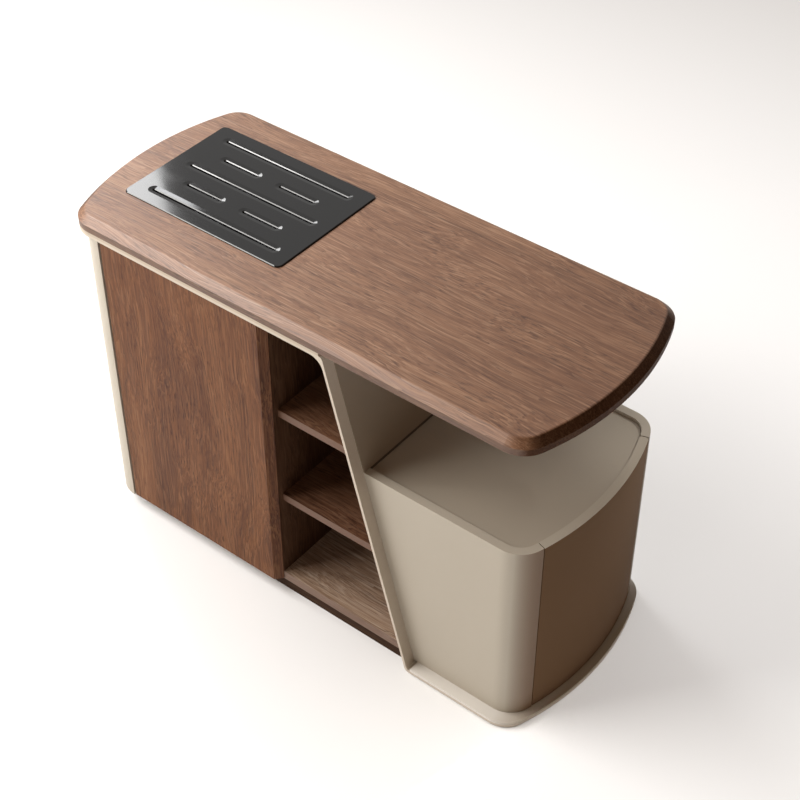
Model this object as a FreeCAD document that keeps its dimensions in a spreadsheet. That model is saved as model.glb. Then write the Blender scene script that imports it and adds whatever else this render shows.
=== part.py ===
import FreeCAD, Part
import os
import re

import Sketcher

# Driving sizes of the tea table, in millimetres.
# X runs along the length, the front is towards -Y, Z is up from the floor.
# A name that ends in share is a fraction of the size that it belongs to.
SIZES = {
    # whole table
    "table_length": 1200,
    "table_width": 500,
    "table_height": 780,
    "end_radius": 600,
    "corner_radius": 60,
    # top board and the deck under it
    "top_thickness": 30,
    "top_bevel": 15.5,
    "top_arris": 6,
    "deck_thickness": 6,
    # bent band: upper flange, leaning leg, lower flange
    "band_thickness": 6,
    "bend_radius": 32,
    "bend_outer_radius": 10,
    "heel_radius": 10,
    "leg_inset": 303.8,
    "leg_lean_share": 0.2716,
    "lining_thickness": 1.5,
    "base_thickness": 6,
    "glide_height": 3,
    "glide_radius": 12,
    # setbacks from the outline of the top
    "back_setback": 5,
    "shell_setback": 1,
    "shell_end_setback": 22,
    "door_setback": 2,
    "box_setback": 26,
    "box_end_setback": 18,
    # carcass on the left
    "wall": 18,
    "plinth_height": 31,
    "plinth_setback": 5,
    "plinth_end_setback": 30,
    "bottom_thickness": 22,
    "partition_offset": 48,
    "shelf_front_setback": 32,
    "slant_wall_setback": 28,
    "lower_shelf_share": 0.3277,
    "upper_shelf_share": 0.6672,
    "cupboard_shelf_share": 0.5,
    "cupboard_shelf_setback": 45,
    "shelf_clearance": 1,
    # cupboard door
    "shell_lip": 3,
    "door_thickness": 16,
    "door_bevel": 14,
    "door_gap": 2,
    "door_rest": 1.5,
    "door_pivot_inset": 5,
    "door_back_chamfer": 2,
    # pivots of the cupboard door
    "pivot_plate_thickness": 1.5,
    "pivot_plate_reach": 38,
    "pivot_plate_depth": 56,
    "pivot_radius": 2,
    "pivot_depth": 14,
    "bush_wall": 1.2,
    "bush_length": 16,
    "running_gap": 0.05,
    # box on the right
    "open_gap": 267,
    "panel_recess": 7,
    "front_seam_inset": 51,
    "back_seam_inset": 47,
    "panel_gap": 1.5,
    "cleat": 18,
    # curved door at the right end
    "end_pivot_inset": 6.5,
    "end_inner_chamfer": 3,
    "arm_half_width": 4,
    "arm_thickness": 2.5,
    "arm_grip": 18,
    "arm_slot_gap": 0.3,
    "arm_low_share": 0.12,
    "arm_high_share": 0.88,
    "pin_reach": 12,
    # push latches behind the two doors
    "latch_length": 60,
    "latch_side": 12,
    "latch_bore_depth": 55,
    "plunger_radius": 3.5,
    "plunger_length": 30,
    "plunger_stand": 0.4,
    "spring_length": 22,
    "spring_radius": 2.6,
    "spring_wire": 0.4,
    "spring_pitch": 2.75,
    "strike_thickness": 1,
    "strike_side": 14,
    "strike_height": 20,
    "strike_gap": 0.1,
    "end_strike_depth": 5,
    "end_latch_share": 0.7,
    "cupboard_latch_share": 0.5,
    # tray in the top
    "tray_length": 414,
    "tray_width": 300,
    "tray_end_gap": 84,
    "tray_shift": 15,
    "tray_corner": 13,
    "tray_thickness": 5,
    "tray_stand": 3,
    "tray_edge_bevel": 1.5,
    "tray_clearance": 0.5,
    "pad_thickness": 0.6,
    "pad_radius": 4,
    "pad_inset": 6,
    "pan_sheet": 1.2,
    "pan_ledge": 12,
    "pan_floor_gap": 1,
    "slot_width": 4.6,
    "slot_lip": 1.5,
    "slot_rim": 0.1,
    "channel_width": 24,
    "channel_depth": 1.5,
    "slot_pitch": 54.75,
    "long_slot_length": 326,
    "short_slot_length": 90,
    "short_slot_offset": 75,
    # screws, dowels and shelf pins
    "screw_radius": 2,
    "screw_head_radius": 4.5,
    "screw_head_height": 2.5,
    "screw_bite": 15,
    "panel_screw_length": 30,
    "dowel_radius": 4,
    "dowel_depth": 14,
    "pin_radius": 2.5,
    "pin_depth": 8,
    "overrun": 10,
}

# Places worked out from the sizes; each may use the ones above it.
PLACES = {
    "left_tip": "-table_length / 2",
    "right_tip": "table_length / 2",
    "front_face": "-table_width / 2",
    "rear_face": "table_width / 2",
    "frame_back": "table_width / 2 - back_setback",
    "inner_back": "frame_back - wall",
    # heights
    "top_under": "table_height - top_thickness",
    "deck_under": "top_under - deck_thickness",
    "band_under": "deck_under - band_thickness",
    "band_foot_top": "glide_height + band_thickness",
    "base_top": "band_foot_top + base_thickness",
    "bottom_top": "plinth_height + bottom_thickness",
    "bay_height": "band_under - bottom_top",
    "box_rim": "deck_under - open_gap",
    "box_height": "box_rim - base_top",
    "box_panel_top": "box_rim - panel_recess",
    "box_panel_under": "box_panel_top - wall",
    # leg and bends
    "leg_foot": "right_tip - leg_inset",
    "bend_drop": "bend_radius * (1 - leg_lean_share / sqrt(1 + leg_lean_share^2))",
    "slant_top": "band_under - bend_drop - door_gap",
    "outer_bend_drop": "bend_outer_radius * (1 - leg_lean_share / sqrt(1 + leg_lean_share^2))",
    "lining_top": "deck_under - outer_bend_drop",
    "outer_bend_run": "bend_outer_radius * (sqrt(1 + leg_lean_share^2) - leg_lean_share)",
    "leg_shift": "band_thickness * sqrt(1 + leg_lean_share^2) - deck_under * leg_lean_share",
    "deck_end": "leg_foot + leg_shift - outer_bend_run",
    # left carcass
    "shell_tip": "left_tip + shell_end_setback",
    "shell_front": "front_face + shell_setback",
    "shell_centre": "shell_tip + end_radius",
    "shell_inner_radius": "end_radius - wall",
    "shell_inner_corner": "corner_radius - wall",
    "front_bow_end": "shell_centre - sqrt((end_radius - corner_radius)^2 - (shell_front + corner_radius)^2)",
    "shell_stop": "front_bow_end + shell_lip",
    "door_left": "shell_stop + door_gap",
    "door_front": "front_face + door_setback",
    "door_back": "door_front + door_thickness",
    "door_foot": "plinth_height + door_gap",
    "door_head": "band_under - door_gap",
    "carcass_front": "door_back + door_rest",
    "partition_bay": "-partition_offset",
    "partition_left": "-partition_offset - wall",
    "slant_wall_front": "front_face + slant_wall_setback",
    "shelf_front": "front_face + shelf_front_setback",
    # cupboard door pivot
    "door_pivot_x": "door_left + door_pivot_inset",
    "door_pivot_y": "door_front + door_pivot_inset",
    "bush_radius": "pivot_radius + running_gap + bush_wall",
    # right box
    "box_front": "front_face + box_setback",
    "box_tip": "right_tip - box_end_setback",
    "box_centre": "box_tip - end_radius",
    "box_inner_front": "box_front + wall",
    "front_seam": "box_front + front_seam_inset",
    "back_seam": "frame_back - back_seam_inset",
    "end_front_edge": "front_seam + door_gap",
    "end_back_edge": "back_seam - door_gap",
    "end_foot": "base_top + door_gap",
    # tray
    "tray_x": "left_tip + tray_end_gap + tray_length / 2",
    "tray_y": "tray_shift",
    "tray_top": "table_height + tray_stand",
    "tray_under": "tray_top - tray_thickness",
    "flange_top": "tray_under - pad_thickness",
    "flange_under": "flange_top - pan_sheet",
    "pan_under": "top_under + pan_floor_gap",
    "channel_foot": "2 * (slot_lip + slot_rim)",
    "slot_head": "tray_top - channel_depth - slot_rim",
}

DOC = FreeCAD.newDocument("gongfu_tea_table")
SHEET = DOC.addObject("Spreadsheet::Sheet", "sizes")
for row, (alias, value) in enumerate(SIZES.items(), start=1):
    SHEET.set(f"A{row}", alias)
    SHEET.set(f"B{row}", str(value))
    SHEET.setAlias(f"B{row}", alias)
DOC.recompute()

NEAR = 0.001
PIECES = {}


def named(formula):
    """Write a formula of size and place names in the sheet's own terms."""
    def swap(match):
        word = match.group(0)
        if word in PLACES:
            return "(" + named(PLACES[word]) + ")"
        return "sizes." + word if word in SIZES else word
    return re.sub(r"[a-z_]+", swap, str(formula))


def number(formula):
    """The present value of a formula."""
    return float(SHEET.evalExpression(named(formula)))


def piece(label, thing):
    """Name a finished piece and list it for writing."""
    thing.Label = label
    PIECES[label] = thing
    return thing


# Simple solids, bound to the sheet

def box(x, y, z):
    """A block between two formulas on each axis."""
    solid = DOC.addObject("Part::Box", "block")
    for axis, side, (low, high) in zip("xyz", ("Length", "Width", "Height"), (x, y, z)):
        solid.setExpression(f"Placement.Base.{axis}", named(low))
        solid.setExpression(side, named(f"({high}) - ({low})"))
    return solid


ALONG = {
    "x": FreeCAD.Rotation(FreeCAD.Vector(0, 1, 0), 90),
    "y": FreeCAD.Rotation(FreeCAD.Vector(1, 0, 0), -90),
    "z": FreeCAD.Rotation(),
}


def rod(axis, radius, length, start):
    """A round bar that starts at a point and runs along +X, +Y or +Z."""
    solid = DOC.addObject("Part::Cylinder", "rod")
    solid.Placement = FreeCAD.Placement(FreeCAD.Vector(), ALONG[axis])
    solid.setExpression("Radius", named(radius))
    solid.setExpression("Height", named(length))
    for name, place in zip("xyz", start):
        solid.setExpression(f"Placement.Base.{name}", named(place))
    return solid


def fuse(*solids):
    joined = DOC.addObject("Part::MultiFuse", "joined")
    joined.Shapes = list(solids)
    return joined


def group(*solids):
    """Separate solids that share one node."""
    together = DOC.addObject("Part::Compound", "together")
    together.Links = list(solids)
    return together


def cut(base, *tools):
    result = DOC.addObject("Part::Cut", "cut")
    result.Base = base
    result.Tool = tools[0] if len(tools) == 1 else fuse(*tools)
    return result


def common(first, second):
    result = DOC.addObject("Part::Common", "common")
    result.Base = first
    result.Tool = second
    return result


# Sketched solids

PLANES = {"XY": "XY_Plane", "XZ": "XZ_Plane"}


def new_sketch(body, plane, offset):
    sketch = body.newObject("Sketcher::SketchObject", "outline")
    role = PLANES[plane]
    origin_plane = [item for item in body.Origin.OriginFeatures if item.Role == role][0]
    sketch.AttachmentSupport = (origin_plane, [""])
    sketch.MapMode = "FlatFace"
    sketch.setExpression("AttachmentOffset.Base.z", named(offset))
    return sketch


def pin_point(sketch, index, end, place):
    """Bind one end of a line or arc to a pair of formulas."""
    for kind, formula in zip(("DistanceX", "DistanceY"), place):
        row = sketch.addConstraint(Sketcher.Constraint(kind, -1, 1, index, end, number(formula)))
        sketch.setExpression(f"Constraints[{row}]", named(formula))


def outline(sketch, corners, arcs):
    """Draw a closed outline anticlockwise; arcs maps a side to its centre and radius."""
    first = sketch.GeometryCount
    spots = [FreeCAD.Vector(number(x), number(y), 0) for x, y in corners]
    count = len(spots)
    starts = []
    for side in range(count):
        here = spots[side]
        there = spots[(side + 1) % count]
        start_end = (1, 2)
        if side in arcs:
            centre_x, centre_y, radius = arcs[side]
            centre = FreeCAD.Vector(number(centre_x), number(centre_y), 0)
            turn = (here - centre).cross(there - centre).z
            if turn < 0:
                start_end = (2, 1)
            low, high = (here, there) if turn >= 0 else (there, here)
            circle = Part.Circle(centre, FreeCAD.Vector(0, 0, 1), number(radius))
            curve = Part.ArcOfCircle(circle, circle.parameter(low), circle.parameter(high))
            sketch.addGeometry(curve)
        else:
            sketch.addGeometry(Part.LineSegment(here, there))
        starts.append(start_end)
    for side in range(count):
        after = (side + 1) % count
        joint = (first + side, starts[side][1], first + after, starts[after][0])
        sketch.addConstraint(Sketcher.Constraint("Coincident", *joint))
        pin_point(sketch, first + side, starts[side][0], corners[side])
    for side, (centre_x, centre_y, radius) in arcs.items():
        constraint = Sketcher.Constraint("Radius", first + side, number(radius))
        row = sketch.addConstraint(constraint)
        sketch.setExpression(f"Constraints[{row}]", named(radius))


def slot(sketch, x, y, length, width):
    """A round-ended slot along X about a centre."""
    half = f"({length} - {width}) / 2"
    first = sketch.GeometryCount
    middle = FreeCAD.Vector(number(x), number(y), 0)
    reach = FreeCAD.Vector(number(half), 0, 0)
    rise = FreeCAD.Vector(0, number(width) / 2, 0)
    up = FreeCAD.Vector(0, 0, 1)
    for centre, low in ((middle + reach, -rise), (middle - reach, rise)):
        circle = Part.Circle(centre, up, rise.Length)
        arc = Part.ArcOfCircle(circle, circle.parameter(centre + low), circle.parameter(centre - low))
        sketch.addGeometry(arc)
    sketch.addGeometry(Part.LineSegment(middle - reach - rise, middle + reach - rise))
    sketch.addGeometry(Part.LineSegment(middle + reach + rise, middle - reach + rise))
    right, left, lower, upper = range(first, first + 4)
    for ends in ((right, 1, lower, 2), (right, 2, upper, 1), (left, 1, upper, 2), (left, 2, lower, 1)):
        sketch.addConstraint(Sketcher.Constraint("Tangent", *ends))
    pin_point(sketch, right, 3, (f"{x} + {half}", y))
    pin_point(sketch, left, 3, (f"{x} - {half}", y))
    row = sketch.addConstraint(Sketcher.Constraint("Radius", right, rise.Length))
    sketch.setExpression(f"Constraints[{row}]", named(f"{width} / 2"))


def prism(plane, corners, low, high, arcs=None):
    """A body whose outline lies in a plane and is thick from low to high across it."""
    body = DOC.addObject("PartDesign::Body", "body")
    # The XZ plane faces -Y, so its sketch sits at the far side and grows forwards.
    offset = low if plane == "XY" else f"-({high})"
    sketch = new_sketch(body, plane, offset)
    outline(sketch, corners, arcs or {})
    pad = body.newObject("PartDesign::Pad", "pad")
    pad.Profile = sketch
    pad.setExpression("Length", named(f"({high}) - ({low})"))
    DOC.recompute()
    return body


def edges_across(body, plane, spots):
    """Names of the straight edges that stand on given spots of the outline's plane."""
    pick = (lambda p: (p.x, p.y)) if plane == "XY" else (lambda p: (p.x, p.z))
    wanted = [(number(a), number(b)) for a, b in spots]
    names = []
    for index, edge in enumerate(body.Tip.Shape.Edges, start=1):
        ends = [pick(vertex.Point) for vertex in edge.Vertexes]
        if len(ends) != 2 or max(abs(a - b) for a, b in zip(*ends)) > NEAR:
            continue
        if any(max(abs(ends[0][0] - a), abs(ends[0][1] - b)) < NEAR for a, b in wanted):
            names.append(f"Edge{index}")
    return names


def edges_at_height(body, height, test=lambda edge: True):
    """Names of the edges that lie flat at one height."""
    level = number(height)
    names = []
    for index, edge in enumerate(body.Tip.Shape.Edges, start=1):
        bounds = edge.BoundBox
        flat = abs(bounds.ZMin - level) < NEAR and abs(bounds.ZMax - level) < NEAR
        if flat and test(edge):
            names.append(f"Edge{index}")
    return names


def soften(body, names, radius):
    """Round named edges of a body."""
    base = body.Tip
    fillet = body.newObject("PartDesign::Fillet", "rounding")
    fillet.Base = (base, names)
    fillet.setExpression("Radius", named(radius))
    body.Tip = fillet
    DOC.recompute()


def bevel(body, names, size, depth=None):
    """Chamfer named edges, with the same size both ways or with a depth of its own."""
    base = body.Tip
    chamfer = body.newObject("PartDesign::Chamfer", "bevel")
    chamfer.Base = (base, names)
    chamfer.setExpression("Size", named(size))
    if depth:
        chamfer.ChamferType = "Two distances"
        chamfer.setExpression("Size2", named(depth))
    body.Tip = chamfer
    DOC.recompute()


def pocket(body, draw, top, depth):
    """Cut a drawn outline down into a body from a height."""
    before = body.Tip.Shape.Volume
    sketch = new_sketch(body, "XY", top)
    draw(sketch)
    hollow = body.newObject("PartDesign::Pocket", "pocket")
    hollow.Profile = sketch
    hollow.setExpression("Length", named(depth))
    body.Tip = hollow
    DOC.recompute()
    if hollow.Shape.Volume > before - NEAR:
        raise RuntimeError("a pocket of " + body.Label + " cuts nothing")


# Plan outlines: straight front and back, each end bowed or flat

def bow(centre, radius, y):
    """How far along X a bowed end stands at a depth y, to the right of its centre."""
    return f"({centre} + sqrt(({radius})^2 - ({y})^2))"


def left_bow(centre, radius, y):
    return f"({centre} - sqrt(({radius})^2 - ({y})^2))"


def plan(front, back, low, high, left=None, right=None, left_flat=None, right_flat=None, corner=None):
    """A flat body with bowed ends (centre, radius) or flat ends, its bowed corners rounded."""
    arcs = {}
    bowed = []
    if right:
        right_spots = [(bow(*right, front), front), (bow(*right, back), back)]
        arcs[1] = (right[0], "0", right[1])
        bowed += right_spots
    else:
        right_spots = [(right_flat, front), (right_flat, back)]
    if left:
        left_spots = [(left_bow(*left, front), front), (left_bow(*left, back), back)]
        arcs[3] = (left[0], "0", left[1])
        bowed += left_spots
    else:
        left_spots = [(left_flat, front), (left_flat, back)]
    corners = [left_spots[0], right_spots[0], right_spots[1], left_spots[1]]
    body = prism("XY", corners, low, high, arcs)
    if corner:
        soften(body, edges_across(body, "XY", bowed), corner)
    return body


TOP_LEFT = ("left_tip + end_radius", "end_radius")
TOP_RIGHT = ("right_tip - end_radius", "end_radius")


def leg_face(height):
    """X of the leg's bay side at a height."""
    return f"(leg_foot - ({height}) * leg_lean_share)"


def leg_back(height):
    """X of the leg's other side at a height."""
    return f"({leg_face(height)} + band_thickness * sqrt(1 + leg_lean_share^2))"


def leaning(face, low, high, side, front, back):
    """A slab that leans with the leg, as thick as side beyond a face formula."""
    slab = f"({side}) * sqrt(1 + leg_lean_share^2)"
    corners = [
        (face(low), low),
        (f"{face(low)} + {slab}", low),
        (f"{face(high)} + {slab}", high),
        (face(high), high),
    ]
    return prism("XZ", corners, front, back)


def left_of(face):
    """Everything to the left of a leaning face, as a tool."""
    low = "-overrun"
    high = "table_height"
    corners = [
        ("left_tip - overrun", low),
        (face(low), low),
        (face(high), high),
        ("left_tip - overrun", high),
    ]
    return prism("XZ", corners, "front_face - overrun", "rear_face + overrun")


def right_of(face):
    """Everything to the right of a leaning face, as a tool."""
    low = "-overrun"
    high = "table_height"
    corners = [
        (face(low), low),
        ("right_tip + overrun", low),
        ("right_tip + overrun", high),
        (face(high), high),
    ]
    return prism("XZ", corners, "front_face - overrun", "rear_face + overrun")


# Screws stand on their heads, drawn at their seat, and run along one axis

SCREW_X_SHARES = (0.26, 0.48, 0.7, 0.88)
SCREW_FRONT_SHARE = -0.37
SCREW_BACK_SHARE = 0.4


def make_fixings():
    """Screws through the band and the deck into the top, made first to drill them with."""
    screws = []
    for x_share in SCREW_X_SHARES:
        for y_share in (SCREW_FRONT_SHARE, SCREW_BACK_SHARE):
            spot = (f"left_tip + (deck_end - left_tip) * {x_share}", f"table_width * ({y_share})")
            seat = "band_under - screw_head_height"
            head = rod("z", "screw_head_radius", "screw_head_height", (*spot, seat))
            length = "top_under + screw_bite - band_under"
            shank = rod("z", "screw_radius", length, (*spot, "band_under"))
            screws.append(fuse(head, shank))
    return piece("top_fixing_screws", group(*screws))


def tray_rectangle(length, width):
    """Corners of a rectangle about the tray's centre."""
    xs = (f"tray_x - ({length}) / 2", f"tray_x + ({length}) / 2")
    ys = (f"tray_y - ({width}) / 2", f"tray_y + ({width}) / 2")
    return [(xs[0], ys[0]), (xs[1], ys[0]), (xs[1], ys[1]), (xs[0], ys[1])]


def make_top(screws):
    """Top board with a bevelled rim and a stepped cut-out, and the deck that ends at the leg."""
    board = plan("front_face", "rear_face", "top_under", "table_height",
                 left=TOP_LEFT, right=TOP_RIGHT, corner="corner_radius")
    bevel(board, edges_at_height(board, "table_height"), "top_bevel")
    soften(board, edges_at_height(board, "table_height"), "top_arris")
    rest = tray_rectangle("tray_length + 2 * tray_clearance", "tray_width + 2 * tray_clearance")
    hole = tray_rectangle("tray_length - 2 * pan_ledge", "tray_width - 2 * pan_ledge")
    pocket(board, lambda sketch: outline(sketch, rest, {}), "table_height", "table_height - flange_under")
    soften(board, edges_across(board, "XY", rest), "tray_corner")
    pocket(board, lambda sketch: outline(sketch, hole, {}), "table_height", "top_thickness")
    soften(board, edges_across(board, "XY", hole), "tray_corner")
    piece("top_board", cut(board, screws))
    deck = plan("front_face", "rear_face", "deck_under", "top_under",
                left=TOP_LEFT, right_flat="deck_end", corner="corner_radius")
    piece("deck_board", cut(deck, screws))


def make_band(screws):
    """One bent plate: flange under the deck, leaning leg, flange along the floor."""
    under = "band_under"
    over = "deck_under"
    low = "glide_height"
    rise = "band_foot_top"
    corners = [
        (leg_face(low), low),
        ("right_tip", low),
        ("right_tip", rise),
        (leg_back(rise), rise),
        (leg_back(over), over),
        ("left_tip", over),
        ("left_tip", under),
        (leg_face(under), under),
    ]
    strip = prism("XZ", corners, "front_face", "frame_back")
    bends = (
        (corners[7], "bend_radius"),
        (corners[4], "bend_outer_radius"),
        (corners[0], "heel_radius"),
        (corners[3], "heel_radius - band_thickness"),
    )
    for spot, radius in bends:
        soften(strip, edges_across(strip, "XZ", [spot]), radius)
    trim = plan("front_face", "frame_back", "0", "table_height",
                left=TOP_LEFT, right=TOP_RIGHT, corner="corner_radius")
    piece("z_band", cut(common(strip, trim), screws))
    lining = leaning(leg_back, "box_rim", "lining_top", "lining_thickness", "box_front", "frame_back")
    piece("leg_lining", lining)
    heel = f"{leg_back('band_foot_top')} + 2 * (heel_radius - band_thickness)"
    base = plan("front_face", "frame_back", "band_foot_top", "base_top",
                left_flat=heel, right=TOP_RIGHT, corner="corner_radius")
    piece("base_board", base)


GLIDE_SPOT_SHARES = ((0.29, -0.42), (0.29, 0.42), (0.43, -0.3), (0.43, 0.3))


def make_glides():
    glides = []
    for x_share, y_share in GLIDE_SPOT_SHARES:
        spot = (f"table_length * {x_share}", f"table_width * ({y_share})", "0")
        glides.append(rod("z", "glide_radius", "glide_height", spot))
    piece("base_glides", group(*glides))


SHELL_OUTER = ("shell_centre", "end_radius")
SHELL_INNER = ("shell_centre", "shell_inner_radius")


def make_shell(pins):
    """Bowed left end of the carcass, one bent shell with two rounded corners."""
    outer = plan("shell_front", "frame_back", "plinth_height", "band_under",
                 left=SHELL_OUTER, right_flat="shell_stop", corner="corner_radius")
    inner = plan("shell_front + wall", "inner_back", "plinth_height - overrun", "band_under + overrun",
                 left=SHELL_INNER, right_flat="shell_stop + overrun", corner="shell_inner_corner")
    piece("left_end_shell", cut(outer, inner, pins))


def make_carcass(right_tool, dowels, back_screws, partition_pins, bracket_seat):
    """Bottom board, partition, leaning wall and back panel."""
    bottom = plan("carcass_front", "inner_back", "plinth_height", "bottom_top",
                  left=SHELL_INNER, right_flat="leg_foot", corner="shell_inner_corner")
    piece("carcass_bottom", cut(bottom, right_tool, dowels, back_screws, bracket_seat))
    panel = box(("partition_left", "partition_bay"), ("carcass_front", "inner_back"),
                ("bottom_top", "band_under"))
    piece("cupboard_partition", cut(panel, dowels, back_screws, partition_pins))
    low = "plinth_height"
    high = "band_under"
    corners = [("shell_stop", low), (leg_face(low), low), (leg_face(high), high), ("shell_stop", high)]
    back = prism("XZ", corners, "inner_back", "frame_back")
    soften(back, edges_across(back, "XZ", [corners[2]]), "bend_radius")
    piece("carcass_back", cut(back, back_screws))


def wall_face(height):
    """X of the leaning wall's bay side at a height."""
    return f"({leg_face(height)} - wall * sqrt(1 + leg_lean_share^2))"


def make_slant_wall(pins):
    wall = leaning(wall_face, "bottom_top", "slant_top", "wall", "slant_wall_front", "inner_back")
    piece("slant_wall", cut(wall, pins))


def make_plinth():
    """Recessed plinth under the carcass: four rails, the left one bowed."""
    front = "carcass_front + plinth_setback"
    low_left = left_bow("shell_centre", "end_radius - plinth_end_setback", f"{front} + wall")
    stop = "leg_foot - heel_radius - wall"
    height = ("0", "plinth_height")
    piece("plinth_front", box((low_left, stop), (front, f"{front} + wall"), height))
    piece("plinth_back", box((low_left, stop), ("inner_back - wall", "inner_back"), height))
    cross = box((f"{stop} - wall", stop), (f"{front} + wall", "inner_back - wall"), height)
    piece("plinth_cross_rail", cross)
    radii = ("end_radius - plinth_end_setback", "end_radius - plinth_end_setback - wall")
    ring = cut(rod("z", radii[0], "plinth_height", ("shell_centre", "0", "0")),
               rod("z", radii[1], "plinth_height", ("shell_centre", "0", "0")))
    window = box(("left_tip", "shell_tip + corner_radius + 2 * plinth_end_setback"),
                 (f"{front} + wall", "inner_back - wall"), height)
    piece("plinth_end", common(ring, window))


def shelf_height(share):
    return f"(bottom_top + bay_height * {share})"


PIN_FRONT_SHARE = -0.32
PIN_BACK_SHARE = 0.34


def make_bay_pins():
    """Shelf pins in the partition and in the leaning wall, two each side of each bay shelf."""
    partition_side = []
    wall_side = []
    for share in ("lower_shelf_share", "upper_shelf_share"):
        height = f"{shelf_height(share)} - wall - pin_radius"
        for y_share in (PIN_FRONT_SHARE, PIN_BACK_SHARE):
            y = f"table_width * ({y_share})"
            left = rod("x", "pin_radius", "2 * pin_depth", ("partition_bay - pin_depth", y, height))
            partition_side.append(left)
            right = rod("x", "pin_radius", "2 * pin_depth", (f"{wall_face(height)} - pin_depth", y, height))
            wall_side.append(right)
    piece("bay_shelf_pins", group(*partition_side, *wall_side))
    return group(*partition_side), group(*wall_side)


def make_bay_shelves():
    blank_right = left_of(wall_face)
    for label, share in (("bay_shelf_lower", "lower_shelf_share"), ("bay_shelf_upper", "upper_shelf_share")):
        top = shelf_height(share)
        blank = box(("partition_bay", "leg_foot"), ("shelf_front", "inner_back"), (f"{top} - wall", top))
        piece(label, common(blank, blank_right))


def make_cupboard_shelf():
    """Shelf behind the cupboard door, its end bowed to suit the shell, on four pins."""
    top = shelf_height("cupboard_shelf_share")
    inset = ("shell_centre", "shell_inner_radius - shelf_clearance")
    shelf = plan("carcass_front + cupboard_shelf_setback", "inner_back - shelf_clearance",
                 f"{top} - wall", top, left=inset, right_flat="partition_left - shelf_clearance",
                 corner="shell_inner_corner")
    piece("cupboard_shelf", shelf)
    height = f"{top} - wall - pin_radius"
    shell_side = []
    partition_side = []
    for y_share in (PIN_FRONT_SHARE, PIN_BACK_SHARE):
        y = f"table_width * ({y_share})"
        inner = left_bow(*SHELL_INNER, y)
        shell_side.append(rod("x", "pin_radius", "2 * pin_depth", (f"{inner} - pin_depth", y, height)))
        right = rod("x", "pin_radius", "2 * pin_depth", ("partition_left - pin_depth", y, height))
        partition_side.append(right)
    piece("cupboard_shelf_pins", group(*shell_side, *partition_side))
    return group(*shell_side), group(*partition_side)


DOWEL_Y_SHARES = (-0.3, 0, 0.3)
BACK_SCREW_HEIGHT_SHARES = (0.12, 0.5, 0.88)
BOTTOM_SCREW_X_SHARES = (-0.3, 0.1)


def make_dowels():
    """Dowels between the bottom board and the partition."""
    middle = "partition_bay - wall / 2"
    dowels = []
    for y_share in DOWEL_Y_SHARES:
        start = (middle, f"table_width * ({y_share})", "bottom_top - dowel_depth")
        dowels.append(rod("z", "dowel_radius", "2 * dowel_depth", start))
    return piece("partition_dowels", group(*dowels))


def back_screw(x, z):
    head = rod("y", "screw_head_radius", "screw_head_height", (x, "frame_back - screw_head_height", z))
    shank = rod("y", "screw_radius", "panel_screw_length",
                (x, "frame_back - screw_head_height - panel_screw_length", z))
    return fuse(head, shank)


def make_back_screws():
    """Screws through the back panel into the partition and the bottom board."""
    screws = []
    for share in BACK_SCREW_HEIGHT_SHARES:
        screws.append(back_screw("partition_bay - wall / 2", f"bottom_top + bay_height * {share}"))
    for share in BOTTOM_SCREW_X_SHARES:
        screws.append(back_screw(f"table_length * ({share})", "bottom_top - bottom_thickness / 2"))
    return piece("back_panel_screws", group(*screws))


def pivot_plate(low):
    """Plate of a door pivot, reaching forwards over the door's corner."""
    return box(("door_pivot_x - door_pivot_inset", "door_pivot_x - door_pivot_inset + pivot_plate_reach"),
               ("door_pivot_y - door_pivot_inset", "door_pivot_y - door_pivot_inset + pivot_plate_depth"),
               (low, f"{low} + pivot_plate_thickness"))


def make_pivots():
    """Plates with pins that carry the cupboard door at its top and bottom corner."""
    spot = ("door_pivot_x", "door_pivot_y")
    upper_plate = pivot_plate("band_under - pivot_plate_thickness")
    upper_pin = rod("z", "pivot_radius", "door_gap + pivot_depth", (*spot, "door_head - pivot_depth"))
    piece("upper_pivot_bracket", fuse(upper_plate, upper_pin))
    seat = pivot_plate("plinth_height")
    lower_pin = rod("z", "pivot_radius", "door_gap + pivot_depth", (*spot, "plinth_height"))
    piece("lower_pivot_bracket", fuse(seat, lower_pin))
    return seat


def make_cupboard_door():
    """Slab door without a handle: bevelled closing edge, rounded pivot edge, bushed pivots."""
    corners = [
        ("door_left", "door_front"),
        ("partition_bay - door_bevel", "door_front"),
        ("partition_bay", "door_back"),
        ("door_left", "door_back"),
    ]
    slab = prism("XY", corners, "door_foot", "door_head")
    soften(slab, edges_across(slab, "XY", [corners[0]]), "door_pivot_inset")
    bevel(slab, edges_across(slab, "XY", [corners[3]]), "door_back_chamfer")
    spot = ("door_pivot_x", "door_pivot_y")
    bushes = []
    sockets = []
    for low in ("door_foot", "door_head - bush_length"):
        socket = rod("z", "bush_radius", "bush_length", (*spot, low))
        bore = rod("z", "pivot_radius + running_gap", "bush_length", (*spot, low))
        sockets.append(socket)
        bushes.append(cut(socket, bore))
    piece("cupboard_door", cut(slab, *sockets))
    piece("door_pivot_bushes", group(*bushes))


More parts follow.
